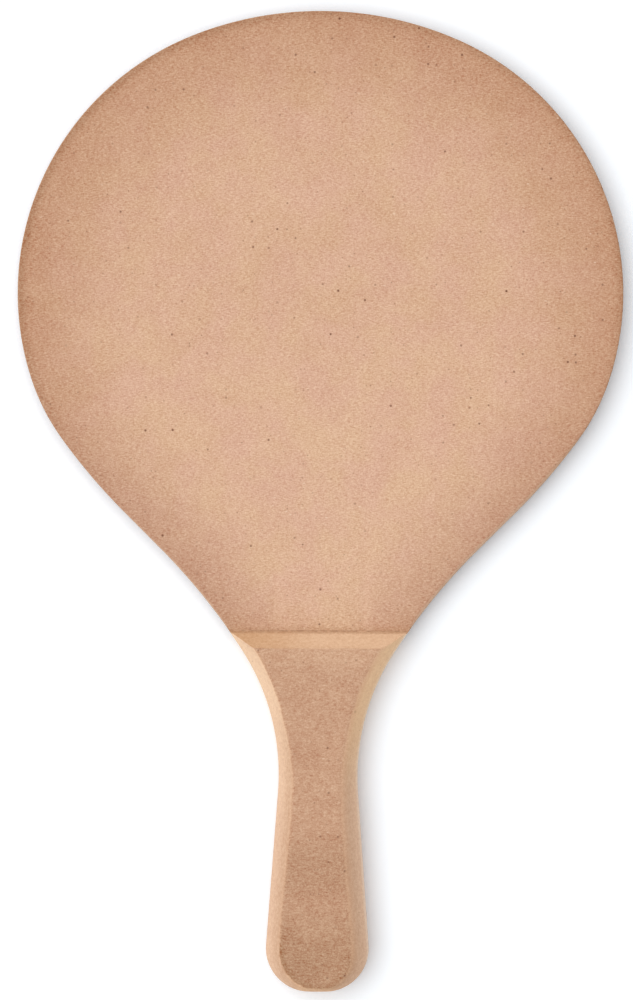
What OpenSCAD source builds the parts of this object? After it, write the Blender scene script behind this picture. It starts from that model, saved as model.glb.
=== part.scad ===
// Wooden bat of a paddle ball game. One fibreboard blade runs the whole length as head and tang,
// and a bevelled cheek is glued to each face of the tang to make the handle.
// The bat lies on its back cheek: +Y from the butt to the crown, +Z out of the front face.
// The outline is one smooth run of arcs and straights, the same on both sides of the axis.

/* [Head] */
// Length of the bat from butt to crown
bat_len = 380; // [340:1:420]
// Width of the head where it is widest
head_w = 235; // [200:1:260]
// Radius of the crown, as a share of the head's width
crown_share = 0.568; // [0.45:0.001:0.7]
// Radius of the lower sides of the head, as a share of its width
side_share = 0.357; // [0.3:0.001:0.44]
// Radius of the flatter flanks below them, as a share of the head's width
flank_share = 0.98; // [0.6:0.01:1.3]
// Angle above the widest point at which the crown passes into the shoulders
crown_angle = 67.2; // [45:0.1:80]
// Angle below the widest point at which the lower sides begin
side_angle = 18.4; // [5:0.1:25]
// Angle at which they pass into the flanks
flank_angle = 35.8; // [28:0.1:40]
// Angle at which the flanks pass into the neck
neck_angle = 45.1; // [42:0.1:50]

/* [Handle outline] */
// Radius of the throat, the first hollow of the neck
throat_r = 239; // [150:1:300]
// Angle that the throat turns through
throat_angle = 12.2; // [5:0.1:18]
// Radius of the waist, the hollow above the grip
waist_r = 88.3; // [60:0.1:110]
// Angle between the sides of the grip and the axis
grip_angle = 4.2; // [1:0.1:6]
// Width of the butt where it is widest
butt_w = 39.9; // [34:0.1:48]
// Radius of the two corners of the butt
corner_r = 16.4; // [12:0.1:16.9]
// Radius of the butt's end
butt_r = 120; // [40:1:200]

/* [Thickness] */
// Thickness of the blade board
board_t = 6; // [4:0.5:9]
// Thickness of each cheek board
cheek_t = 6; // [5.5:0.5:9]
// Thickness of each glue layer
glue_t = 0.15; // [0.1:0.05:0.5]

/* [Cheeks and edges] */
// Length of the cheeks, from the butt to their front edge
cheek_len = 139.2; // [110:0.1:160]
// Width of the bevel along the sides of the cheeks, seen from above
bevel_w = 5.2; // [3:0.1:8]
// Width of the bevel at the cheeks' front edge
front_bevel_w = 6.6; // [3:0.1:9]
// Height of both bevels
bevel_h = 5.4; // [2:0.1:5.5]
// Width to which the bevel narrows at the end of the butt
butt_bevel_w = 1.5; // [0.5:0.1:2]
// Width and height of the eased edge round the head
edge_ease = 0.8; // [0.3:0.1:1.5]

/* [Hidden] */
// Overrun of every cut
over = 1;
// Longest step, and largest turn in one step, with which the outline's arcs are drawn
step_len = 3.6;
step_angle = 6;

// Heights of the layers, from the face of the back cheek up
blade_z = cheek_t + glue_t;
front_glue_z = blade_z + board_t;
front_cheek_z = front_glue_z + glue_t;

// Direction of the outward normal at an angle, and the way down the outline there
function out(angle) = [cos(angle), sin(angle)];
function down(angle) = [sin(angle), -cos(angle)];

// Head: each circle touches the next one, and the shoulders reach half the head's width
crown_r = crown_share * head_w;
shoulder_r = (head_w / 2 - crown_r * cos(crown_angle)) / (1 - cos(crown_angle));
side_r = side_share * head_w;
flank_r = flank_share * head_w;
crown_c = [0, bat_len - crown_r];
shoulder_c = crown_c + (crown_r - shoulder_r) * out(crown_angle);
side_c = shoulder_c + (shoulder_r - side_r) * out(-side_angle);
flank_c = side_c + (side_r - flank_r) * out(-flank_angle);
flank_end = flank_c + flank_r * out(-neck_angle);

// Butt: the corner circles touch the end's circle from inside
corner_x = butt_w / 2 - corner_r;
butt_c = [0, butt_r];
corner_c = [corner_x, butt_r - sqrt(pow(butt_r - corner_r, 2) - pow(corner_x, 2))];
corner_angle = atan2(corner_c.y - butt_c.y, corner_c.x);
grip_low = corner_c + corner_r * out(grip_angle);

// Neck: straight lines from the flank and the grip cross at a point, which the two hollows round
// off. They shrink together where either line is too short for them.
flank_way = down(-neck_angle);
grip_way = down(grip_angle);
flank_room = cross(grip_low - flank_end, grip_way) / cross(flank_way, grip_way);
grip_room = norm(flank_end + flank_room * flank_way - grip_low);
neck_turn = neck_angle + grip_angle;
waist_angle = neck_turn - throat_angle;
tangents = throat_r * tan(throat_angle / 2) + waist_r * tan(waist_angle / 2);
flank_cut = throat_r * tan(throat_angle / 2) + tangents * sin(waist_angle) / sin(neck_turn);
grip_cut = waist_r * tan(waist_angle / 2) + tangents * sin(throat_angle) / sin(neck_turn);
neck_fit = min(1, flank_room / flank_cut, grip_room / grip_cut);
throat_top = flank_end + (flank_room - neck_fit * flank_cut) * flank_way;
throat_low_angle = throat_angle - neck_angle;
throat_c = throat_top + neck_fit * throat_r * out(-neck_angle);
waist_c = throat_c + neck_fit * (waist_r - throat_r) * out(throat_low_angle);
grip_top = waist_c - neck_fit * waist_r * out(grip_angle);

// A run of the outline is [centre, radius, first angle, last angle]. The angles are those of the
// outward normal, and a hollow arc has a negative radius. A straight run has radius 0, and its
// start stands for the centre.
outline_runs = [
    [crown_c, crown_r, 90, crown_angle],
    [shoulder_c, shoulder_r, crown_angle, -side_angle],
    [side_c, side_r, -side_angle, -flank_angle],
    [flank_c, flank_r, -flank_angle, -neck_angle],
    [flank_end, 0, -neck_angle, -neck_angle],
    [throat_c, -neck_fit * throat_r, -neck_angle, throat_low_angle],
    [waist_c, -neck_fit * waist_r, throat_low_angle, grip_angle],
    [grip_top, 0, grip_angle, grip_angle],
    [corner_c, corner_r, grip_angle, corner_angle],
    [butt_c, butt_r, corner_angle, -90]];

// Number of steps that a run is drawn in
function run_steps(run) = let (turn = abs(run[3] - run[2]))
    max(1, ceil(turn / step_angle), ceil(abs(run[1]) * turn * PI / 180 / step_len));

// The outline's right side as [point, normal angle], from the crown to the butt
right_side = concat(
    [for (run = outline_runs, i = [0:run_steps(run) - 1])
        let (a = run[2] + (run[3] - run[2]) * i / run_steps(run)) [run[0] + run[1] * out(a), a]],
    [[[0, 0], -90]]);

// Full ring from a right side: down the right and up the left
function ring(side) = concat(side, [for (i = [len(side) - 1:-1:0]) if (side[i][0].x > 0)
    [[-side[i][0].x, side[i][0].y], 180 - side[i][1]]]);

// The handle's share of the right side, from the last point above the cheeks' front edge
first_low = min([for (i = [0:len(right_side) - 1]) if (right_side[i][0].y < cheek_len) i]);
handle_side = [for (i = [first_low - 1:len(right_side) - 1]) right_side[i]];

// Places of a path's points, each drawn in from the outline by its own inset
function drawn_in(path, insets) = [for (i = [0:len(path) - 1])
    path[i][0] - insets[i] * out(path[i][1])];

// Solid through rings of points, each ring listed with its heights, from the bottom ring up
module loft(rings, heights) {
    n = len(rings[0]);
    points = [for (k = [0:len(rings) - 1], i = [0:n - 1]) [rings[k][i].x, rings[k][i].y, heights[k][i]]];
    walls = [for (k = [0:len(rings) - 2], i = [0:n - 1])
        let (a = k * n + i, b = k * n + (i + 1) % n) each [[a, b, b + n], [a, b + n, a + n]]];
    floor_face = [[for (i = [n - 1:-1:0]) i]];
    roof_face = [[for (i = [0:n - 1]) (len(rings) - 1) * n + i]];
    polyhedron(points, concat(floor_face, walls, roof_face));
}

// Plan of the handle: the outline up to the cheeks' front edge
module handle_plan() {
    intersection() {
        polygon([for (p = ring(right_side)) p[0]]);
        translate([-head_w / 2, 0]) square([head_w, cheek_len]);
    }
}

// Block that covers the bat's plan from the butt up to a reach, between height 0 and a top
module block(reach, top) {
    translate([-head_w, -over, 0]) cube([2 * head_w, reach + over, top]);
}

// Width of the side bevel at a point of the handle's path. Past the grip it narrows with the
// cosine of the corner's turn, to its width at the butt.
function bevel_at(p) = p[0].y > grip_low.y ? bevel_w : butt_bevel_w
    + (bevel_w - butt_bevel_w) * max(0, out(grip_angle) * [abs(cos(p[1])), sin(p[1])]);

// Cheek with its glued face down at height 0. The sides and the butt get their bevel from the
// loft, and a sloped cut makes the one at the front edge.
module cheek() {
    path = ring(handle_side);
    wall = drawn_in(path, [for (p = path) 0]);
    rise = bevel_h / bevel_w;
    front_rise = bevel_h / front_bevel_w;
    top_in = drawn_in(path, [for (p = path) bevel_at(p) + over / rise]);
    difference() {
        intersection() {
            loft([wall, wall, top_in], [[for (p = path) -over],
                [for (p = path) cheek_t - bevel_at(p) * rise], [for (p = path) cheek_t + over]]);
            block(cheek_len, cheek_t);
        }
        translate([-head_w / 2, cheek_len]) rotate([90, 0, 90]) linear_extrude(head_w)
            polygon([[-front_bevel_w - over / front_rise, cheek_t + over],
                [over, cheek_t - bevel_h - over * front_rise], [over, cheek_t + over]]);
    }
}

// Moves a piece drawn from the butt up to its layer of the bat
module layer(z) {
    translate([0, -bat_len / 2, z]) children();
}

// Blade with its rim eased on both faces, from the cheeks' front edge up
module blade() {
    path = ring(right_side);
    wall = drawn_in(path, [for (p = path) 0]);
    cut_in = drawn_in(path, [for (p = path) p[0].y > cheek_len ? edge_ease + over : 0]);
    color("#d9b096") layer(blade_z) intersection() {
        loft([cut_in, wall, wall, cut_in], [[for (p = path) -over], [for (p = path) edge_ease],
            [for (p = path) board_t - edge_ease], [for (p = path) board_t + over]]);
        block(bat_len + over, board_t);
    }
}

module front_glue() {
    color("#a9784f") layer(front_glue_z) linear_extrude(glue_t) handle_plan();
}

module back_glue() {
    color("#a9784f") layer(cheek_t) linear_extrude(glue_t) handle_plan();
}

module front_cheek() {
    color("#c9a283") layer(front_cheek_z) cheek();
}

module back_cheek() {
    color("#c9a283") layer(cheek_t) mirror([0, 0, 1]) cheek();
}

blade();
front_glue();
back_glue();
front_cheek();
back_cheek();
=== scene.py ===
import bpy, bmesh, math
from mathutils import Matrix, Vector, noise


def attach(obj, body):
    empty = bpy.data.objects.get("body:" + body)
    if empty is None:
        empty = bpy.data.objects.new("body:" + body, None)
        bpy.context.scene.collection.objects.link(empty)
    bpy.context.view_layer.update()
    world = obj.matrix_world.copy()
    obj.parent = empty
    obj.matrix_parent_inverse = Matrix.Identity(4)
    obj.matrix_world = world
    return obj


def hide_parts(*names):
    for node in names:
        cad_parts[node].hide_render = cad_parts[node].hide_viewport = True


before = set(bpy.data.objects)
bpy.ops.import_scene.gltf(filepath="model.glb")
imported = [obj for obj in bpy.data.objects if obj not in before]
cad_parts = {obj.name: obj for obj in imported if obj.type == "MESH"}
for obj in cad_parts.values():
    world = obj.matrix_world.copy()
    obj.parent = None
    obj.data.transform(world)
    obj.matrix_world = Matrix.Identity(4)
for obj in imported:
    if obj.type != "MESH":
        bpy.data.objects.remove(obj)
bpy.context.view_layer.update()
mm = 0.001
near = 1e-6  # places closer than this count as one
level = 0.9  # a face whose normal stands up this far counts as level
print("frame loaded")

# the bat's outline in millimetres, measured up from the butt; it repeats the sizes of the solids
bat = {
    "length": 380, "headWidth": 235,
    # radii of the head as shares of its width, and the angles at which each arc ends
    "crownShare": 0.568, "crownAngle": 67.2, "sideShare": 0.357, "sideAngle": 18.4,
    "flankShare": 0.98, "flankAngle": 35.8, "neckAngle": 45.1,
    "throatRadius": 239, "throatAngle": 12.2, "waistRadius": 88.3,
    "gripAngle": 4.2, "buttWidth": 39.9, "cornerRadius": 16.4, "buttRadius": 120,
    "cheekLength": 139.2, "board": 6, "glue": 0.15,
    "step": 2.4, "stepAngle": 5,  # longest piece of an arc, and its largest turn
}
halfLength = bat["length"] / 2
middleY = halfLength * mm
hipY = bat["cheekLength"] * mm - middleY  # the cheeks' front edge
bladeUnder = (bat["board"] + bat["glue"]) * mm
bladeTop = bladeUnder + bat["board"] * mm
cheekUnder = bladeTop + bat["glue"] * mm
cheekTop = cheekUnder + bat["board"] * mm
midHeight = cheekTop / 2


def outward(angle):
    return Vector((math.cos(math.radians(angle)), math.sin(math.radians(angle))))


def onward(angle):
    return Vector((math.sin(math.radians(angle)), -math.cos(math.radians(angle))))


def cross(a, b):
    return a.x * b.y - a.y * b.x


def batRuns():
    # arcs and straights down the right side, as (centre, radius, first angle, last angle);
    # a hollow arc has a negative radius, and a straight run has radius 0 and goes from its first
    # place to its second
    crownRadius, sideRadius, flankRadius = (
        bat[key] * bat["headWidth"] for key in ("crownShare", "sideShare", "flankShare"))
    crown = Vector((0, bat["length"] - crownRadius))
    lean = math.cos(math.radians(bat["crownAngle"]))
    shoulderRadius = (bat["headWidth"] / 2 - crownRadius * lean) / (1 - lean)
    shoulder = crown + (crownRadius - shoulderRadius) * outward(bat["crownAngle"])
    side = shoulder + (shoulderRadius - sideRadius) * outward(-bat["sideAngle"])
    flank = side + (sideRadius - flankRadius) * outward(-bat["flankAngle"])
    flankEnd = flank + flankRadius * outward(-bat["neckAngle"])

    # the butt's corners touch its end from inside
    cornerX = bat["buttWidth"] / 2 - bat["cornerRadius"]
    reach = bat["buttRadius"] - bat["cornerRadius"]
    corner = Vector((cornerX, bat["buttRadius"] - math.sqrt(reach ** 2 - cornerX ** 2)))
    cornerAngle = math.degrees(math.atan2(corner.y - bat["buttRadius"], corner.x))
    gripLow = corner + bat["cornerRadius"] * outward(bat["gripAngle"])

    # two hollows round off the corner between the line of the flank and the line of the grip
    flankWay, gripWay = onward(-bat["neckAngle"]), onward(bat["gripAngle"])
    room = cross(gripLow - flankEnd, gripWay) / cross(flankWay, gripWay)
    turn = bat["neckAngle"] + bat["gripAngle"]
    waistTurn = turn - bat["throatAngle"]
    throatTan = bat["throatRadius"] * math.tan(math.radians(bat["throatAngle"] / 2))
    waistTan = bat["waistRadius"] * math.tan(math.radians(waistTurn / 2))
    share = math.sin(math.radians(waistTurn)) / math.sin(math.radians(turn))
    throatTop = flankEnd + (room - throatTan - (throatTan + waistTan) * share) * flankWay
    throatLow = bat["throatAngle"] - bat["neckAngle"]
    throat = throatTop + bat["throatRadius"] * outward(-bat["neckAngle"])
    waist = throat + (bat["waistRadius"] - bat["throatRadius"]) * outward(throatLow)
    gripTop = waist - bat["waistRadius"] * outward(bat["gripAngle"])
    return [
        (crown, crownRadius, 90, bat["crownAngle"]),
        (shoulder, shoulderRadius, bat["crownAngle"], -bat["sideAngle"]),
        (side, sideRadius, -bat["sideAngle"], -bat["flankAngle"]),
        (flank, flankRadius, -bat["flankAngle"], -bat["neckAngle"]),
        (flankEnd, 0, throatTop, 0),
        (throat, -bat["throatRadius"], -bat["neckAngle"], throatLow),
        (waist, -bat["waistRadius"], throatLow, bat["gripAngle"]),
        (gripTop, 0, gripLow, 0),
        (corner, bat["cornerRadius"], bat["gripAngle"], cornerAngle),
        (Vector((0, bat["buttRadius"])), bat["buttRadius"], cornerAngle, -90),
    ]


gripRun = 7  # the grip's straight run in that list


def selectAll():
    bpy.ops.mesh.select_all(action="SELECT")


def selectInside(obj, test, kind):
    # selects in edit mode the edges or faces that the test picks, by place or normal
    bpy.ops.mesh.select_mode(type=kind)
    bpy.ops.mesh.select_all(action="DESELECT")
    mesh = bmesh.from_edit_mesh(obj.data)
    for item in {"EDGE": mesh.edges, "FACE": mesh.faces}[kind]:
        if test(item):
            item.select_set(True)
    mesh.select_flush_mode()
    bmesh.update_edit_mesh(obj.data)


def extrude(offset):
    bpy.ops.mesh.extrude_region_move(TRANSFORM_OT_translate={"value": offset})


def saw(place, normal, **ends):
    # cuts what is selected; the default threshold would also catch points 0.1 mm from the cut
    bpy.ops.mesh.bisect(plane_co=place, plane_no=normal, threshold=near / 10, **ends)


def turnOutward():
    selectAll()
    bpy.ops.mesh.normals_make_consistent(inside=False)


def nudge(obj, indices, offset):
    bpy.ops.mesh.select_all(action="DESELECT")
    mesh = bmesh.from_edit_mesh(obj.data)
    mesh.verts.ensure_lookup_table()
    for index in indices:
        mesh.verts[index].select_set(True)
    bpy.ops.transform.translate(value=offset)


def applyModifier(obj, kind, **values):
    modifier = obj.modifiers.new("work", kind)
    for key, value in values.items():
        setattr(modifier, key, value)
    bpy.ops.object.modifier_apply(modifier=modifier.name)


def smoothFaces(obj, angle):
    bpy.ops.object.mode_set(mode="OBJECT")
    bpy.ops.object.select_all(action="DESELECT")
    obj.select_set(True)
    bpy.context.view_layer.objects.active = obj
    bpy.ops.object.shade_smooth_by_angle(angle=math.radians(angle))
    applyModifier(obj, "WEIGHTED_NORMAL", keep_sharp=True, weight=100)


def drawBat(name, height):
    # one vertex at the crown is spun and extruded down the right side, then mirrored
    bpy.ops.object.select_all(action="DESELECT")
    bpy.ops.mesh.primitive_plane_add(size=mm, location=(0, middleY, height))
    obj = bpy.context.object
    obj.name = obj.data.name = name
    bpy.ops.object.mode_set(mode="EDIT")
    bpy.ops.mesh.select_mode(type="VERT")
    bpy.ops.mesh.merge(type="CENTER")
    for centre, radius, first, last in batRuns():
        if radius == 0:
            way = (first - centre) * mm
            pieces = max(1, round(way.length / (bat["step"] * mm)))
            for i in range(pieces):
                extrude((way.x / pieces, way.y / pieces, 0))
        else:
            turn = math.radians(last - first)
            pieces = math.ceil(
                max(abs(turn * radius) / bat["step"], abs(last - first) / bat["stepAngle"]))
            bpy.ops.mesh.spin(
                steps=pieces, angle=-turn, axis=(0, 0, 1),
                center=(centre.x * mm, (centre.y - halfLength) * mm, height))
    bpy.ops.object.mode_set(mode="OBJECT")
    bpy.ops.object.transform_apply(location=True, rotation=True, scale=True)
    applyModifier(obj, "MIRROR", use_axis=(True, False, False), merge_threshold=10 * near)
    bpy.ops.object.mode_set(mode="EDIT")
    selectAll()
    bpy.ops.mesh.edge_face_add()
    bpy.ops.mesh.normals_make_consistent(inside=False)
    return obj


def ringColumns(obj, test, rings, step):
    # insets a flat face again and again, and returns its points in columns from the outline inward,
    # each with its points' numbers and places
    selectInside(obj, test, "FACE")
    mesh = bmesh.from_edit_mesh(obj.data)
    height = next(f for f in mesh.faces if f.select).verts[0].co.z
    for i in range(rings):
        bpy.ops.mesh.inset(thickness=step, use_even_offset=True)
    mesh = bmesh.from_edit_mesh(obj.data)
    passed = {v for v in mesh.verts if abs(v.co.z - height) > near}
    columns = [[v] for v in mesh.verts
               if v not in passed and any(e.other_vert(v) in passed for e in v.link_edges)]
    passed |= {column[0] for column in columns}
    for i in range(rings):
        for column in columns:
            column.append(next(e.other_vert(column[-1]) for e in column[-1].link_edges
                               if e.other_vert(column[-1]) not in passed))
        passed |= {column[-1] for column in columns}
    bpy.ops.mesh.select_mode(type="VERT")
    return [([v.index for v in column], [v.co.copy() for v in column]) for column in columns]


def wander(x, y, size, seed):
    # smooth random value from about -1 to 1 that changes over size metres
    return noise.noise(Vector((x / size, y / size, seed)))


def readRows(rows, place):
    # value between the rows of (place, value)
    for (a, first), (b, second) in zip(rows, rows[1:]):
        if place <= b:
            return first + (second - first) * max(0, min(1, (place - a) / (b - a)))
    return rows[-1][1]


cheek = {
    "land": 0.6,  # upright edge left below the bevel
    "frontWide": 6.6, "bevelHigh": 5.4, "buttWide": 1.5,
    # width of the bevel down each side, by the height above the butt: the sander swung a little
    "leftWide": ((0, 5.2), (16, 5.1), (27, 4.8), (36, 4.7), (47, 5.4), (64, 5.6), (80, 5.4),
                 (92, 4.6), (103, 4.1), (118, 4.3), (150, 4.4)),
    "rightWide": ((0, 5.4), (30, 5.9), (47, 6.2), (66, 6.2), (82, 5.4), (95, 4.8), (150, 4.8)),
    "sandingDrift": 0.2, "driftLength": 22, "sideSeed": 3.7, "frontSeed": 6.2,
    "leftRound": 1.3, "rightRound": 2.8,  # the hand has worn the right arris rounder
    "roundLimit": 0.5,  # as a share of the bevel's width
    "turnover": 14,  # the left side's wear passes into the right side's over this width
    "rings": 8, "ringStep": 0.5,
    "spare": 20,  # drawn this far past the front edge before that is sawn
    "columns": 22, "columnFree": 5,  # upright cuts through the front slope, none near its ends
    "sliver": 0.1,  # points nearer than this to the outermost cuts stay where they are
    "frontFacing": 0.5,  # a face whose normal leans forward this far belongs to the front
    "frontRound": 0.5, "footRound": 0.25, "roundSteps": 3,
    "frontBand": 0.8, "footRise": 0.6, "footFree": 3,  # where the edges to be rounded are looked for
    "smoothAngle": 25,
}
landTop = cheekUnder + cheek["land"] * mm
frontY = hipY - cheek["frontWide"] * mm


def rightness(x):
    # 0 on the left side of the handle and 1 on the right
    return max(0, min(1, 0.5 + x / (cheek["turnover"] * mm)))


def sectionPlace(wide, low, share, reach):
    # place on the bevel's section, from its foot through the rounded arris to the flat top,
    # as the distance in from the side and the height
    foot, arris = Vector((0, low)), Vector((wide, cheekTop))
    start = arris - (arris - foot).normalized() * reach
    end = arris + Vector((reach, 0))
    if share < 0:
        return foot
    return start * (1 - share) ** 2 + arris * 2 * share * (1 - share) + end * share ** 2


def slopeSides(obj):
    # each column of points takes the section there. The side bevels have their own widths, and round
    # the butt they narrow and rise at the same slope
    columns = ringColumns(obj, lambda f: f.normal.z > level, cheek["rings"], cheek["ringStep"] * mm)
    gripLow = batRuns()[gripRun][2].y * mm - middleY
    for column, places in columns:
        foot = places[0]
        way = (places[1] - foot) / (cheek["ringStep"] * mm)
        aim = -way.normalized()
        rows = cheek["rightWide" if foot.x > 0 else "leftWide"]
        wide = readRows(rows, (foot.y + middleY) / mm) * mm
        low = landTop
        if foot.y < gripLow:
            share = max(0, outward(bat["gripAngle"]).dot(Vector((abs(aim.x), aim.y))))
            narrow = cheek["buttWide"] * mm + (wide - cheek["buttWide"] * mm) * share
            low += (1 - narrow / wide) * cheek["bevelHigh"] * mm
            wide = narrow
        else:
            drift = wander(foot.x, foot.y, cheek["driftLength"] * mm, cheek["sideSeed"])
            wide += drift * cheek["sandingDrift"] * mm
        reach = cheek["leftRound"] + (cheek["rightRound"] - cheek["leftRound"]) * rightness(foot.x)
        reach = min(reach * mm, cheek["roundLimit"] * wide)
        for i, (index, place) in enumerate(zip(column, places)):
            inward, height = sectionPlace(wide, low, (i - 1) / (cheek["rings"] - 1) if i else -1, reach)
            aimed = foot + way * inward
            nudge(obj, [index], (aimed.x - place.x, aimed.y - place.y, height - place.z))
    return [places[0].xy for column, places in columns]


def onFrontTop(point):
    return abs(point.z - cheekTop) < near and abs(point.y - frontY) < 10 * near


def slopeFront(obj):
    # the front is sawn at a slope down to the land, and the land upright
    slope = Vector((0, cheek["bevelHigh"], cheek["frontWide"])).normalized()
    selectAll()
    saw((0, hipY, landTop), slope, use_fill=True, clear_outer=True)
    selectAll()
    saw((0, hipY, 0), (0, 1, 0), use_fill=True, clear_outer=True)

    # upright cuts through the slope, so that its top edge can drift and each face stays flat
    mesh = bmesh.from_edit_mesh(obj.data)
    ends = [v.co.x for v in mesh.verts if onFrontTop(v.co)]
    left, right = min(ends) + cheek["columnFree"] * mm, max(ends) - cheek["columnFree"] * mm
    lean = cheek["frontFacing"]
    for i in range(cheek["columns"] + 1):
        selectInside(obj, lambda f: f.normal.y > lean and f.normal.z > -lean, "FACE")
        saw((left + (right - left) * i / cheek["columns"], 0, 0), (1, 0, 0))
    mesh = bmesh.from_edit_mesh(obj.data)
    sliver = cheek["sliver"] * mm
    inner = [(v.index, v.co.x) for v in mesh.verts
             if onFrontTop(v.co) and left + sliver < v.co.x < right - sliver]
    for index, x in inner:
        drift = wander(x, 0, cheek["driftLength"] * mm, cheek["frontSeed"])
        nudge(obj, [index], (0, drift * cheek["sandingDrift"] * mm, 0))
    selectAll()
    bpy.ops.mesh.remove_doubles(threshold=near)
    turnOutward()
    return left, right


def roundArrises(obj, feet, left, right):
    # the slope's top edge is rounded in full, and the foot of the side bevels a little
    def footGap(point):
        # distance from the bevel's foot; below it nothing counts
        if point.z < landTop - near:
            return 1
        return min((point.xy - foot).length for foot in feet)

    def weigh(a, b):
        onTop = min(a.y, b.y) > frontY - cheek["frontBand"] * mm and min(a.z, b.z) > cheekTop - near
        if onTop and left - 10 * near < min(a.x, b.x) and max(a.x, b.x) < right + 10 * near:
            return 1
        lying = abs(a.z - b.z) < cheek["footRise"] * mm
        behind = max(a.y, b.y) < hipY - cheek["footFree"] * mm
        if lying and behind and max(footGap(a), footGap(b)) < 10 * near:
            return cheek["footRound"] / cheek["frontRound"]
        return 0

    weights = obj.data.attributes.new("bevel_weight_edge", "FLOAT", "EDGE")
    for edge in obj.data.edges:
        ends = [obj.data.vertices[i].co for i in edge.vertices]
        weights.data[edge.index].value = weigh(ends[0], ends[1])
    applyModifier(
        obj, "BEVEL", width=cheek["frontRound"] * mm, segments=cheek["roundSteps"],
        limit_method="WEIGHT", use_clamp_overlap=False, miter_outer="MITER_SHARP")


def makeCheek(name):
    obj = drawBat(name, cheekUnder)
    selectAll()
    saw((0, hipY + cheek["spare"] * mm, 0), (0, 1, 0), clear_outer=True)
    selectAll()
    extrude((0, 0, cheek["land"] * mm))
    turnOutward()
    feet = slopeSides(obj)
    left, right = slopeFront(obj)
    bpy.ops.object.mode_set(mode="OBJECT")
    roundArrises(obj, feet, left, right)
    # 0 on the left side and 1 on the right; the material places its painted shade and painted highlight
    # by it
    rightSide = obj.data.attributes.new("rightSide", "FLOAT", "POINT")
    for vertex in obj.data.vertices:
        rightSide.data[vertex.index].value = rightness(vertex.co.x)
    smoothFaces(obj, cheek["smoothAngle"])
    return obj


blade = {
    # how far the rim is rounded, by the height above the butt; under the cheeks only a hair
    "back": ((0, 0.04), (139.4, 0.04), (141.5, 0.8), (380, 0.8)),
    "frontLeft": ((0, 0.04), (139.4, 0.04), (141.5, 1.3), (165, 1.3), (190, 0.8), (380, 0.8)),
    "frontRight": ((0, 0.04), (139.4, 0.04), (142, 1.6), (150, 2), (205, 2), (219, 0.8), (380, 0.8)),
    "cutsAhead": (0.2, 1, 2.3),  # cuts ahead of the cheeks, where the rounding begins
    "handDrift": 0.25, "driftLength": 30, "seed": 8.1,
    "rings": 5, "ringStep": 0.3,
    "grid": 8, "gridFree": 2,  # spacing of the grid, and the strip ahead of the cheeks without it
    "gridLevel": 0.9999,  # only faces as level as this get the grid
    "straightPieces": 20, "arcPieces": 60, "searchSpan": 90,  # for the distance to the rim
    "smoothAngle": 40,
}


def easeRim(obj, side):
    # rounds the rim of one face, side 1 for the front and -1 for the back
    step = blade["ringStep"] * mm
    for column, places in ringColumns(obj, lambda f: f.normal.z * side > level, blade["rings"], step):
        edge = places[0]
        way = (places[1] - edge) / step
        rows = blade["back" if side < 0 else "frontRight" if edge.x > 0 else "frontLeft"]
        eased = readRows(rows, (edge.y + middleY) / mm) * mm
        drift = wander(edge.x, edge.y, blade["driftLength"] * mm, blade["seed"] * side)
        eased *= 1 + blade["handDrift"] * drift
        for i, (index, place) in enumerate(zip(column, places)):
            share = i / blade["rings"]
            aimed = edge + way * eased * share ** 2
            drop = -side * eased * (1 - share) ** 2
            nudge(obj, [index], (aimed.x - place.x, aimed.y - place.y, drop))


def gridFaces(obj):
    # a grid over both faces of the head, so that the distance to the rim can be kept at its points
    reach = {"x": bat["headWidth"] / 2 * mm, "y": middleY}
    flat = blade["gridLevel"]
    for axis, normal in (("x", (1, 0, 0)), ("y", (0, 1, 0))):
        place = -reach[axis] + blade["grid"] * mm / 2
        while place < reach[axis]:
            if axis == "x" or place > hipY + blade["gridFree"] * mm:
                selectInside(
                    obj, lambda f: abs(f.normal.z) > flat and f.calc_center_median().y > hipY, "FACE")
                saw((place if axis == "x" else 0, place if axis == "y" else 0, 0), normal)
            place += blade["grid"] * mm


def lineGap(here, a, b):
    # how far a place is from the line between two others
    share = (here - a).dot(b - a) / max(near, (b - a).length_squared)
    return (here - (a + (b - a) * max(0, min(1, share)))).length


def keepRimDistance(obj):
    # each point keeps its distance to the rim, for the browning
    rim = []
    for centre, radius, first, last in batRuns():
        if radius == 0:
            pieces = blade["straightPieces"]
            rim += [centre + (first - centre) * i / pieces for i in range(pieces + 1)]
        else:
            pieces = blade["arcPieces"]
            rim += [centre + radius * outward(first + (last - first) * i / pieces)
                    for i in range(pieces + 1)]
    distance = obj.data.attributes.new("rimDistance", "FLOAT", "POINT")
    for vertex in obj.data.vertices:
        here = Vector((abs(vertex.co.x) / mm, (vertex.co.y + middleY) / mm))
        distance.data[vertex.index].value = mm * min(
            lineGap(here, a, b) for a, b in zip(rim, rim[1:]) if abs(a.y - here.y) < blade["searchSpan"])


def makeBlade(name):
    obj = drawBat(name, bladeUnder)
    selectAll()
    extrude((0, 0, bat["board"] * mm))
    turnOutward()
    for ahead in blade["cutsAhead"]:
        selectAll()
        saw((0, hipY + ahead * mm, 0), (0, 1, 0))
        selectInside(obj, lambda f: abs(f.normal.z) > level, "FACE")
        bpy.ops.mesh.dissolve_faces()
    for side in (1, -1):
        easeRim(obj, side)
    gridFaces(obj)
    bpy.ops.object.mode_set(mode="OBJECT")
    keepRimDistance(obj)
    smoothFaces(obj, blade["smoothAngle"])
    return obj


glueLine = {
    "inset": 0.12,  # sanding flush leaves the film a hair behind the boards
    "bead": 0.3, "beadHigh": 0.22, "beadCuts": 47, "beadFacing": 0.99,
    "beadRound": 0.18, "beadSteps": 3,
    "beadDrift": 0.18, "driftLength": 9, "driftSeed": 5.3,
    "fineDrift": 0.5, "fineLength": 2.5, "fineSeed": 1.9,
    "crosswise": 0.1, "ahead": 0.02,  # an edge of the bead this long and this far out is rounded
    "smoothAngle": 50,
}


def middle(edge):
    return (edge.verts[0].co + edge.verts[1].co) / 2


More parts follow.
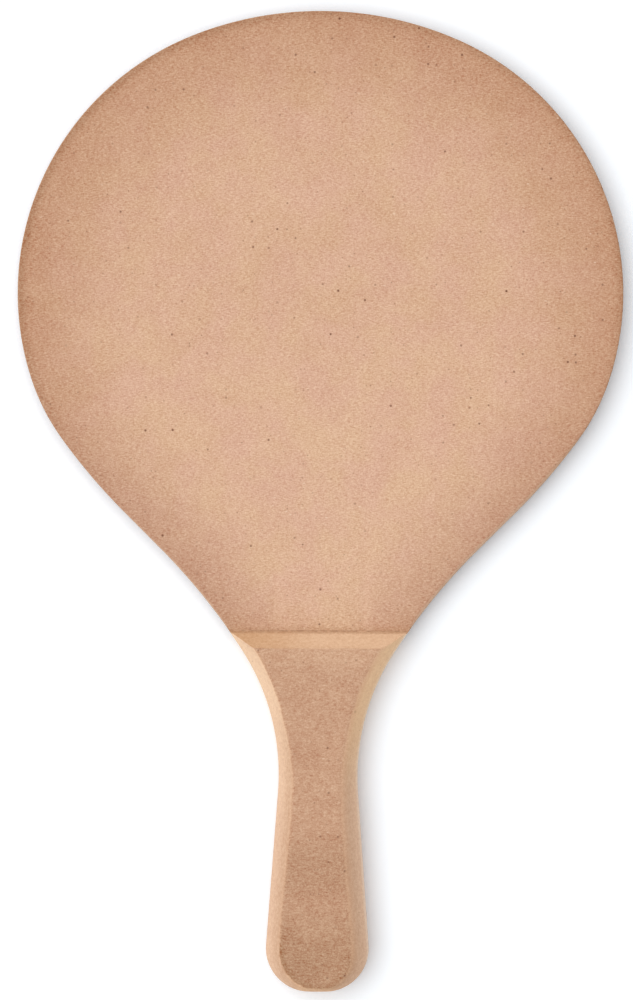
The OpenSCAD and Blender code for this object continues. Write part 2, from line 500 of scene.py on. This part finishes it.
def makeGlue(name):
    obj = drawBat(name, bladeTop)
    selectAll()
    saw((0, hipY, 0), (0, 1, 0), clear_outer=True)
    selectAll()
    bpy.ops.mesh.inset(thickness=glueLine["inset"] * mm, use_even_offset=True)
    bpy.ops.mesh.select_all(action="INVERT")
    bpy.ops.mesh.delete(type="FACE")
    front = hipY - glueLine["inset"] * mm
    selectInside(obj, lambda e: abs(middle(e).y - front) < near, "EDGE")
    bpy.ops.mesh.subdivide(number_cuts=glueLine["beadCuts"])
    selectAll()
    extrude((0, 0, bat["glue"] * mm))
    turnOutward()

    # the squeezed-out bead along the foot of the cheek
    selectInside(obj, lambda f: f.normal.y > glueLine["beadFacing"], "FACE")
    extrude((0, (glueLine["inset"] + glueLine["bead"]) * mm, 0))
    outer = front + (glueLine["inset"] + glueLine["bead"]) * mm
    mesh = bmesh.from_edit_mesh(obj.data)
    columns = {}
    for v in mesh.verts:
        if abs(v.co.y - outer) < near:
            columns.setdefault(round(v.co.x / near), []).append(v.index)
    for x, indices in sorted(columns.items()):
        broad = wander(x * near, 0, glueLine["driftLength"] * mm, glueLine["driftSeed"])
        fine = wander(x * near, 0, glueLine["fineLength"] * mm, glueLine["fineSeed"])
        drift = (broad + glueLine["fineDrift"] * fine) * glueLine["beadDrift"]
        nudge(obj, indices, (0, drift * mm, 0))
    start = hipY - glueLine["inset"] * mm / 2
    selectInside(obj, lambda f: f.normal.z > level and f.calc_center_median().y > start, "FACE")
    extrude((0, 0, glueLine["beadHigh"] * mm))
    beadTop = cheekUnder + glueLine["beadHigh"] * mm

    def onBead(edge):
        a, b = (v.co for v in edge.verts)
        lying = max(abs(a.z - beadTop), abs(b.z - beadTop)) < near
        crosswise = abs(a.x - b.x) > glueLine["crosswise"] * mm
        return lying and crosswise and middle(edge).y > hipY + glueLine["ahead"] * mm

    selectInside(obj, onBead, "EDGE")
    bpy.ops.mesh.bevel(
        offset=glueLine["beadRound"] * mm, segments=glueLine["beadSteps"], affect="EDGES")
    smoothFaces(obj, glueLine["smoothAngle"])
    return obj


def turnOver(obj, name):
    # the back has the same piece, turned over about the bat's long axis
    twin = obj.copy()
    twin.data = obj.data.copy()
    twin.name = twin.data.name = name
    bpy.context.collection.objects.link(twin)
    bpy.ops.object.select_all(action="DESELECT")
    twin.select_set(True)
    bpy.context.view_layer.objects.active = twin
    bpy.ops.object.mode_set(mode="EDIT")
    selectAll()
    bpy.ops.transform.rotate(value=math.pi, orient_axis="Y", center_override=(0, 0, midHeight))
    bpy.ops.object.mode_set(mode="OBJECT")
    return twin


bladeBoard = makeBlade("blade_board")
print("blade modelled", len(bladeBoard.data.polygons))
frontCheek = makeCheek("front_cheek_board")
backCheek = turnOver(frontCheek, "back_cheek_board")
print("cheeks modelled", len(frontCheek.data.polygons))
frontGlue = makeGlue("front_glue_line")
backGlue = turnOver(frontGlue, "back_glue_line")
print("glue lines modelled", len(frontGlue.data.polygons))


def linear(hexText):
    channels = [int(hexText[i:i + 2], 16) / 255 for i in (1, 3, 5)]
    return tuple(c / 12.92 if c <= 0.04045 else ((c + 0.055) / 1.055) ** 2.4 for c in channels) + (1,)


def clearTree(owner):
    owner.use_nodes = True
    owner.node_tree.nodes.clear()
    return owner.node_tree


def addNode(tree, kind, settings, inputs):
    # an input that gets another node's output is linked, and any other is set
    node = tree.nodes.new(kind)
    for key, value in settings.items():
        setattr(node, key, value)
    for key, value in inputs.items():
        if isinstance(value, bpy.types.NodeSocket):
            tree.links.new(value, node.inputs[key])
        else:
            node.inputs[key].default_value = value
    return node


grainRough = 0.6  # strength of each finer layer of noise, as a share of the one before
speckHeart = 0.3  # share of a speck's radius inside which it shows in full


def batPlace(tree):
    # place on the bat in millimetres, from the middle of its length and width
    metres = addNode(tree, "ShaderNodeTexCoord", {}, {}).outputs["Object"]
    return addNode(tree, "ShaderNodeVectorMath", {"operation": "SCALE"},
                   {0: metres, "Scale": 1 / mm}).outputs[0]


def spread(tree, place, size, detail=0, stretch=(1, 1, 1), turn=0):
    # noise whose patches are size millimetres across, from about -0.5 to 0.5
    turned = addNode(tree, "ShaderNodeMapping", {},
                     {"Vector": place, "Rotation": (0, 0, math.radians(turn)), "Scale": stretch})
    field = addNode(tree, "ShaderNodeTexNoise", {},
                    {"Vector": turned.outputs[0], "Scale": 1 / size, "Detail": detail,
                     "Roughness": grainRough})
    return addNode(tree, "ShaderNodeMath", {"operation": "SUBTRACT"},
                   {0: field.outputs[0], 1: 0.5}).outputs[0]


def combine(tree, parts, start=0.0):
    # adds up sources, each times its strength
    total = start
    for source, strength in parts:
        total = addNode(tree, "ShaderNodeMath", {"operation": "MULTIPLY_ADD"},
                        {0: source, 1: strength, 2: total}).outputs[0]
    return total


def overlap(tree, *parts):
    # multiplies shares. A part is a socket, a number, or a fade: a source, the two places that it
    # changes between, its values there (0 and 1 if none are given) and how it changes
    total = None
    for part in parts:
        if isinstance(part, tuple):
            source, places, values, way = part + ((0.0, 1.0), "SMOOTHSTEP")[len(part) - 2:]
            part = addNode(
                tree, "ShaderNodeMapRange", {"interpolation_type": way},
                {0: source, 1: places[0], 2: places[1], 3: values[0], 4: values[1]}).outputs[0]
        total = part if total is None else addNode(
            tree, "ShaderNodeMath", {"operation": "MULTIPLY"}, {0: total, 1: part}).outputs[0]
    return total


def coat(tree, under, over, *parts):
    # lays one colour over another where the parts overlap; a colour is a hex text or a socket
    under, over = (linear(colour) if isinstance(colour, str) else colour for colour in (under, over))
    return addNode(tree, "ShaderNodeMix", {"data_type": "RGBA"},
                   {0: overlap(tree, *parts), 6: under, 7: over}).outputs[2]


def specks(tree, place, spacing, size, share, stretch=(1, 1, 1), turn=0):
    # small marks with soft edges, size millimetres across, in a share of cells spacing millimetres
    # apart; few of them are strong
    turned = addNode(tree, "ShaderNodeMapping", {},
                     {"Vector": place, "Rotation": (0, 0, math.radians(turn)), "Scale": stretch})
    cells = addNode(tree, "ShaderNodeTexVoronoi", {}, {"Vector": turned.outputs[0], "Scale": 1 / spacing})
    chance = addNode(tree, "ShaderNodeSeparateColor", {}, {0: cells.outputs["Color"]})
    chosen = addNode(tree, "ShaderNodeMath", {"operation": "LESS_THAN"},
                     {0: chance.outputs[0], 1: share})
    radius = size / spacing / 2
    return overlap(tree, chance.outputs[1], chance.outputs[1], chosen.outputs[0],
                   (cells.outputs["Distance"], (radius, speckHeart * radius)))


# raw MDF: wood fibre pressed hot with resin and left unfinished. The pressed face is a dense brown
# skin, flecked with short fibres and a few bits of bark, almost matt. Sanding through it bares the
# core, which is paler, more even and fully matt. Sizes are in millimetres, and places along and
# across the bat are measured from its middle. A pair of places is where something begins to show
# and where it shows in full, or by the share beside it
mdf = {
    # the crease colour is painted shade, laid in the creases at the cheeks' foot
    "skinWarm": "#dbb291", "creaseShade": "#bd8f6c", "denseCore": "#c59977",
    "patchSize": 16,  # the skin has pinkish and yellowish patches
    "skinDeep": 0.22, "skinFade": 0.16,  # thickness of the skin and how softly it ends
    "wornPatches": ((1.2, 1, 0.25), (9, 2, 0.25)),  # size, detail and depth of its thinner patches
    "fibre": "#d2d3bb",  # what a pale fibre adds and a dark one takes away
    # fibre bundles are about 0.05 mm thick and 1 to 2 mm long; they are drawn 0.4 mm thick, so that
    # they show, and each tone below gives the strength of its strokes and of its grain by size
    "strokeSize": 0.42, "strokeStretch": (0.3, 1, 1), "strokeTurns": (15, 75, 135),
    "broadGrain": ((3.6, 0.03), (6, 0.056), (18, 0.069)),
    # specks as spacing, size and share of the cells that have one, each kind with its strength
    "bark": "#74472e", "barkBits": ((3.4, 1.35, 0.3), 1.0), "barkDust": ((1.6, 0.9, 0.35), 0.5),
    "coreBark": ((2.6, 0.7, 0.3), 0.6),
    "straw": "#efd2b8", "strawBits": (3.1, 0.6, 0.25), "strawStrength": 0.85,
    "strawStretch": (0.4, 1, 1), "strawTurns": (20, 80, 140),
    # the core is denser towards the pressed faces, and its fibres lie flat
    "denseDepth": (1.6, 0.2),
    # size, detail, stretch and strength of the core's grain
    "coreGrain": ((0.4, 0, (1, 1, 1.6), 0.22), (0.9, 0, (1, 1, 1), 0.12),
                  (1.4, 0, (1, 1, 2.5), 0.2), (9, 1, (1, 1, 1), 0.06)),
    "rough": 0.74, "roughGrain": 0.3, "bump": 0.5, "bumpHigh": 0.05, "coreBump": 0.8,
    "ior": 1.5, "specular": 0.3,
}

# the blade is browner towards its rim. The distance to the rim counts for more at the neck than at the
# crown, so the browning is narrow there and widens upward
bladeTones = {
    "skin": "#dcb096", "rimSkin": "#c4977b", "rimSkinHigh": "#c29272", "patchFade": (-0.22, 0.22),
    "browning": (42, 0), "browningPower": 1.6,
    "browningDrift": (14, 2, 9),  # a drift is its patches' size, detail and strength
    "widening": (-20, 100), "widenings": (1.2, 0.78), "rimSkinRise": (-10, 70),
    "upperHalf": (30, 85), "upperShare": 0.12,
    # the cutter browned the last millimetres, most round the upper half and on the left
    "rimBurn": "#9f7150", "burnDeep": (4.5, 0.2), "burnDrift": (5, 2, 1.6),
    "burnRise": (0, 90), "burnShare": 0.5, "burnAcross": (-60, 60), "burnRight": 0.65,
    # painted shade darkens the face in the crease just ahead of the cheeks, strongly at their foot and
    # faintly farther out
    "creaseDrift": (2.2, 2, 2.4), "thickCreaseShade": (3.2, 0.4), "thickShare": 0.5,
    "thinCreaseShade": (11, 3), "thinShare": 0.25,
    # the sanded rim shows the core
    "core": "#e7c3a7", "coreHigh": "#d2a684", "coreRise": (-10, 40), "dense": 0.45,
    "grain": ((0.4, 0.23), (0.6, 0.27), (1.2, 0.09)), "strokes": 0.19,
}

# the cheeks are darkened by the hand that holds them, most at the butt
cheekTones = {
    "skin": "#c79b7d", "buttSkin": "#b4896a", "buttFade": (-145, -180),
    "patchFade": (-0.2, 0.3), "patchShare": 0.2, "frontFade": (-68, -59), "frontShare": 0.35,
    # fingers have darkened a band across the grip
    "fingersHigh": (-126, -139), "fingersLow": (-157, -147), "fingersShare": 0.5,
    # dirt has gathered just inside the arris round the butt, most on the left
    "dirt": "#a87b59", "dirtMiddle": -172, "dirtHalves": (15, 17.1), "dirtDrift": (3, 1, 0.15),
    "dirtRing": (0.82, 0.96), "dirtFade": (-166, -175), "dirtShare": 0.75,
    "dirtAcross": (-4, 8), "dirtRight": 0.4,
    # the front bevel is as sawn, with painted shade in the crease at its foot
    "core": "#e8be9a", "coreLeft": "#d9aa81", "coreAcross": (-30, 3),
    "creaseDrift": (2.2, 2, 0.8), "creaseFade": (-1.1, -0.3), "creaseShare": 0.65,
    # the side bevels were sanded by hand and are paler, and browner again where they are deep
    "sideCore": "#f7d2b0", "lowCore": "#e7c0a2", "sideFade": (-70, -125), "sideFacing": (0.15, 0.5),
    "deep": (4.8, 1.0), "deepFade": (-75, -105), "deepShares": (0.1, 0.45),
    # on the right side a painted warm shade tints the bevel yellow round the waist, and a painted
    # highlight runs pale along the foot of the bevel
    "paintedShadeTint": "#f8cb98", "shadeTintFade": (-120, -80), "shadeTintShare": 0.5,
    "paintedEdgeHighlight": "#ffeedd", "highlightDepth": (4.2, 5.4), "highlightShare": 0.5,
    # there the skin's brown reaches down over the rounded arris
    "keptFacing": (0.5, 0.2), "keptDepth": (1.6, 0.4), "keptShare": 0.5,
    "dense": 0.12, "grain": ((0.4, 0.27), (0.6, 0.27), (1.2, 0.03)), "strokes": 0.16,
}


def drifting(tree, place, source, drift):
    # a source whose values drift in patches
    size, detail, strength = drift
    return combine(tree, [(spread(tree, place, size, detail), strength), (source, 1)])


def colourBlade(tree, at):
    # colours of the skin and of the core, and the share of skin that outlasts the sanding
    place, across, up = at["place"], at["across"], at["up"]
    tones, hip = bladeTones, hipY / mm
    colour = coat(tree, tones["skin"], mdf["skinWarm"],
                  (spread(tree, place, mdf["patchSize"], 2), tones["patchFade"]))
    metres = addNode(tree, "ShaderNodeAttribute", {"attribute_name": "rimDistance"}, {}).outputs["Fac"]
    inside = overlap(tree, metres, 1 / mm)
    reach = overlap(tree, inside, (up, tones["widening"], tones["widenings"], "LINEAR"))
    browned = overlap(
        tree, (drifting(tree, place, reach, tones["browningDrift"]), tones["browning"], (0, 1), "LINEAR"))
    browned = addNode(tree, "ShaderNodeMath", {"operation": "POWER"},
                      {0: browned, 1: tones["browningPower"]}).outputs[0]
    rim = coat(tree, tones["rimSkin"], tones["rimSkinHigh"], (up, tones["rimSkinRise"]))
    colour = coat(tree, colour, tones["rimSkinHigh"], (up, tones["upperHalf"], (0, tones["upperShare"])))
    colour = coat(tree, colour, rim, browned)
    colour = coat(tree, colour, tones["rimBurn"],
                  (drifting(tree, place, inside, tones["burnDrift"]), tones["burnDeep"]),
                  (up, tones["burnRise"], (0, tones["burnShare"])),
                  (across, tones["burnAcross"], (1, tones["burnRight"])))
    # painted shade in the crease ahead of the cheeks
    ahead = drifting(tree, place, up, tones["creaseDrift"])
    for kind in ("thick", "thin"):
        places = [hip + out for out in tones[kind + "CreaseShade"]]
        colour = coat(tree, colour, mdf["creaseShade"], (ahead, places), tones[kind + "Share"])
    core = coat(tree, tones["core"], tones["coreHigh"], (up, tones["coreRise"]))
    return colour, core, 0.0


def colourCheek(tree, at):
    place, across, up, depth = at["place"], at["across"], at["up"], at["depth"]
    tones, hip = cheekTones, hipY / mm
    colour = coat(tree, tones["skin"], tones["buttSkin"], (up, tones["buttFade"]))
    colour = coat(tree, colour, mdf["skinWarm"],
                  (spread(tree, place, mdf["patchSize"], 2), tones["patchFade"],
                   (0, tones["patchShare"])))
    colour = coat(tree, colour, mdf["skinWarm"], (up, tones["frontFade"], (0, tones["frontShare"])))
    colour = coat(tree, colour, tones["buttSkin"],
                  (up, tones["fingersHigh"], (0, tones["fingersShare"])), (up, tones["fingersLow"]))

    # the ring of dirt is an ellipse, whose radius counts as 1
    wide, long = tones["dirtHalves"]
    oval = addNode(tree, "ShaderNodeMapping", {}, {
        "Vector": place, "Location": (0, -tones["dirtMiddle"] / long, 0),
        "Scale": (1 / wide, 1 / long, 0)}).outputs[0]
    radius = addNode(tree, "ShaderNodeVectorMath", {"operation": "LENGTH"}, {0: oval}).outputs["Value"]
    colour = coat(tree, colour, tones["dirt"],
                  (drifting(tree, place, radius, tones["dirtDrift"]), tones["dirtRing"]),
                  (up, tones["dirtFade"], (0, tones["dirtShare"])),
                  (across, tones["dirtAcross"], (1, tones["dirtRight"])))

    # the bevels' core, where the sideways part of the normal tells the side bevels from the front one
    normal = addNode(tree, "ShaderNodeNewGeometry", {}, {}).outputs["Normal"]
    facing = addNode(tree, "ShaderNodeSeparateXYZ", {}, {0: normal}).outputs
    sideways = addNode(tree, "ShaderNodeMath", {"operation": "ABSOLUTE"}, {0: facing[0]}).outputs[0]
    onRight = addNode(tree, "ShaderNodeAttribute", {"attribute_name": "rightSide"}, {}).outputs["Fac"]
    side = coat(tree, tones["sideCore"], tones["lowCore"], (up, tones["sideFade"], (0, 1), "LINEAR"))
    side = coat(tree, side, mdf["denseCore"],
                (depth, tones["deep"]), (up, tones["deepFade"], tones["deepShares"]))
    # painted shade: the right bevel, which faces away from the lamp, is tinted warmer, most toward the
    # waist
    side = coat(tree, side, tones["paintedShadeTint"],
                onRight, (up, tones["shadeTintFade"], (0, tones["shadeTintShare"])))
    # painted highlight: a pale band along the foot of the right bevel
    side = coat(tree, side, tones["paintedEdgeHighlight"],
                onRight, (depth, tones["highlightDepth"], (0, tones["highlightShare"])))
    core = coat(tree, tones["coreLeft"], tones["core"], (across, tones["coreAcross"]))
    core = coat(tree, core, side, (sideways, tones["sideFacing"]))
    # painted shade in the crease at the front bevel's foot
    places = [hip + out for out in tones["creaseFade"]]
    core = coat(tree, core, mdf["creaseShade"],
                (drifting(tree, place, up, tones["creaseDrift"]), places, (0, tones["creaseShare"])))
    kept = overlap(tree, onRight, (facing[1], tones["keptFacing"]),
                   (depth, tones["keptDepth"], (0, tones["keptShare"])))
    return colour, core, kept


def makeMdf(name, outerHeight, tones, colourBoard):
    material = bpy.data.materials.new(name)
    tree = clearTree(material)
    place = batPlace(tree)
    across, up, high = addNode(tree, "ShaderNodeSeparateXYZ", {}, {0: place}).outputs

    # how deep a point lies below the pressed face, on either side of the bat
    offMid = addNode(tree, "ShaderNodeMath", {"operation": "SUBTRACT"}, {0: high, 1: midHeight / mm})
    offMid = addNode(tree, "ShaderNodeMath", {"operation": "ABSOLUTE"}, {0: offMid.outputs[0]})
    depth = addNode(tree, "ShaderNodeMath", {"operation": "SUBTRACT"},
                    {0: (outerHeight - midHeight) / mm, 1: offMid.outputs[0]}).outputs[0]
    colour, core, kept = colourBoard(tree, {"place": place, "across": across, "up": up, "depth": depth})

    # the skin gives way to the core in ragged patches
    ragged = combine(tree, [(spread(tree, place, size, detail), deep)
                            for size, detail, deep in mdf["wornPatches"]] + [(depth, 1)])
    bare = overlap(
        tree, (ragged, (mdf["skinDeep"] - mdf["skinFade"], mdf["skinDeep"] + mdf["skinFade"])),
        addNode(tree, "ShaderNodeMath", {"operation": "SUBTRACT"}, {0: 1.0, 1: kept}).outputs[0])

    # the fibres lighten and darken all three channels by the same look
    layers = [(spread(tree, place, size), strength) for size, strength in tones["grain"]]
    layers += [(spread(tree, place, mdf["strokeSize"], 0, mdf["strokeStretch"], turn), tones["strokes"])
               for turn in mdf["strokeTurns"]]
    layers += [(spread(tree, place, size), strength) for size, strength in mdf["broadGrain"]]
    grain = combine(tree, layers)
    fibre = linear(mdf["fibre"])[:3]
    colour = addNode(tree, "ShaderNodeVectorMath", {"operation": "MULTIPLY_ADD"},
                     {0: grain, 1: fibre, 2: colour}).outputs[0]
    for kind in ("barkBits", "barkDust"):
        cells, strength = mdf[kind]
        colour = coat(tree, colour, mdf["bark"], specks(tree, place, *cells), strength)
    for turn in mdf["strawTurns"]:
        pale = specks(tree, place, *mdf["strawBits"], mdf["strawStretch"], turn)
        colour = coat(tree, colour, mdf["straw"], pale, mdf["strawStrength"])

    core = coat(tree, core, mdf["denseCore"], (depth, mdf["denseDepth"]), tones["dense"])
    coreGrain = combine(tree, [(spread(tree, place, size, detail, stretch), strength)
                               for size, detail, stretch, strength in mdf["coreGrain"]])
    core = addNode(tree, "ShaderNodeVectorMath", {"operation": "MULTIPLY_ADD"},
                   {0: coreGrain, 1: fibre, 2: core}).outputs[0]
    cells, strength = mdf["coreBark"]
    core = coat(tree, core, mdf["bark"], specks(tree, place, *cells), strength)
    colour = coat(tree, colour, core, bare)

    rough = addNode(tree, "ShaderNodeMath", {"operation": "MULTIPLY_ADD", "use_clamp": True},
                    {0: grain, 1: mdf["roughGrain"], 2: mdf["rough"]}).outputs[0]
    height = combine(tree, [(grain, 1), (overlap(tree, coreGrain, bare), mdf["coreBump"])])
    bump = addNode(tree, "ShaderNodeBump", {},
                   {"Height": height, "Strength": mdf["bump"],
                    "Distance": mdf["bumpHigh"] * mm}).outputs[0]
    shader = addNode(tree, "ShaderNodeBsdfPrincipled", {}, {
        "Base Color": colour, "Roughness": rough, "Normal": bump,
        "IOR": mdf["ior"], "Specular IOR Level": mdf["specular"]})
    addNode(tree, "ShaderNodeOutputMaterial", {}, {0: shader.outputs[0]})
    return material


# cured wood glue: a white dispersion that dries to a hard, clear brown-yellow film with a slight gloss
glueFilm = {
    "film": "#cfa27c", "stain": "#ad7e58", "lumps": 2.2, "lumpFade": (-0.2, 0.2),
    "rough": 0.4, "roughLumps": 0.3, "bump": 0.6, "bumpHigh": 0.08, "ior": 1.47,
}


def makeGlueFilm(name):
    material = bpy.data.materials.new(name)
    tree = clearTree(material)
    lumps = spread(tree, batPlace(tree), glueFilm["lumps"], 2)
    colour = coat(tree, glueFilm["film"], glueFilm["stain"], (lumps, glueFilm["lumpFade"]))
    rough = combine(tree, [(lumps, glueFilm["roughLumps"])], glueFilm["rough"])
    bump = addNode(tree, "ShaderNodeBump", {}, {
        "Height": lumps, "Strength": glueFilm["bump"], "Distance": glueFilm["bumpHigh"] * mm}).outputs[0]
    shader = addNode(tree, "ShaderNodeBsdfPrincipled", {}, {
        "Base Color": colour, "Roughness": rough, "Normal": bump, "IOR": glueFilm["ior"]})
    addNode(tree, "ShaderNodeOutputMaterial", {}, {0: shader.outputs[0]})
    return material


bladeMdf = makeMdf("rawMdfBlade", bladeTop, bladeTones, colourBlade)
cheekMdf = makeMdf("rawMdfCheek", cheekTop, cheekTones, colourCheek)
curedGlue = makeGlueFilm("curedWoodGlue")
for piece, look, node, slot in (
        (bladeBoard, bladeMdf, "blade", "blade_board"),
        (frontCheek, cheekMdf, "front_cheek", "cheek_board"),
        (backCheek, cheekMdf, "back_cheek", "cheek_board"),
        (frontGlue, curedGlue, "front_glue", "wood_glue"),
        (backGlue, curedGlue, "back_glue", "wood_glue")):
    piece.data.materials.clear()
    piece.data.materials.append(look)
    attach(piece, "root")
    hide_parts(node)
print("materials made")

# the studio: a white floor, an even sky, and one wide soft lamp nearly overhead, a little to the left.
# Angles are in degrees, sizes and distances in metres, and the drop and the centre in millimetres
studio = {
    "sky": 0.26, "lampShare": 0.74, "lampHeight": 72, "lampTurn": 160, "lampSize": 78,
    "floorSize": 6, "floorDrop": 0.05,  # the drop keeps the floor clear of the back cheek's face
    "floorGlow": (1.075, 1.12, 1.165), "floorColour": 0.88,  # the floor glows for camera rays alone
    # the camera looks straight down, with this much of the blade's plane between top and bottom
    "distance": 1.8, "viewHeight": 0.3878, "centreX": -1.16, "centreY": 0.23, "roll": 0.276,
    "sensor": 24, "clip": (0.01, 20),
}
bpy.ops.object.select_all(action="DESELECT")
bpy.ops.mesh.primitive_plane_add(size=studio["floorSize"], location=(0, 0, -studio["floorDrop"] * mm))
floor = bpy.context.object
floor.name = "floor"
paper = bpy.data.materials.new("paperBackdrop")
tree = clearTree(paper)
ray = addNode(tree, "ShaderNodeLightPath", {}, {}).outputs["Is Camera Ray"]
white = addNode(tree, "ShaderNodeMix", {"data_type": "RGBA"}, {
    0: ray, 6: (studio["floorColour"],) * 3 + (1,), 7: studio["floorGlow"] + (1,)}).outputs[2]
shader = addNode(tree, "ShaderNodeBsdfDiffuse", {}, {0: white})
addNode(tree, "ShaderNodeOutputMaterial", {}, {0: shader.outputs[0]})
floor.data.materials.append(paper)

world = bpy.data.worlds.new("studio")
bpy.context.scene.world = world
tree = clearTree(world)
ray = addNode(tree, "ShaderNodeLightPath", {}, {}).outputs["Is Camera Ray"]
strength = addNode(tree, "ShaderNodeMapRange", {},
                   {0: ray, 1: 0, 2: 1, 3: studio["sky"], 4: 1}).outputs[0]
sky = addNode(tree, "ShaderNodeBackground", {}, {"Color": (1, 1, 1, 1), "Strength": strength})
addNode(tree, "ShaderNodeOutputWorld", {}, {0: sky.outputs[0]})

height, turn = math.radians(studio["lampHeight"]), math.radians(studio["lampTurn"])
way = Vector((math.cos(height) * math.cos(turn), math.cos(height) * math.sin(turn), math.sin(height)))
lampData = bpy.data.lights.new("softLamp", "SUN")
lampData.energy = studio["lampShare"] * math.pi / math.sin(height)
lampData.angle = math.radians(studio["lampSize"])
lamp = bpy.data.objects.new("softLamp", lampData)
lamp.rotation_euler = way.to_track_quat("Z", "Y").to_euler()
lamp.location = way
bpy.context.collection.objects.link(lamp)

cameraData = bpy.data.cameras.new("camera")
cameraData.sensor_fit = "VERTICAL"
cameraData.sensor_height = studio["sensor"]
cameraData.lens = studio["sensor"] * studio["distance"] / studio["viewHeight"]
cameraData.clip_start, cameraData.clip_end = studio["clip"]
camera = bpy.data.objects.new("camera", cameraData)
camera.location = (studio["centreX"] * mm, studio["centreY"] * mm, bladeTop + studio["distance"])
camera.rotation_euler = (0, 0, math.radians(studio["roll"]))
bpy.context.collection.objects.link(camera)
bpy.context.scene.camera = camera
bpy.context.scene.view_settings.view_transform = "Standard"
print("studio made")
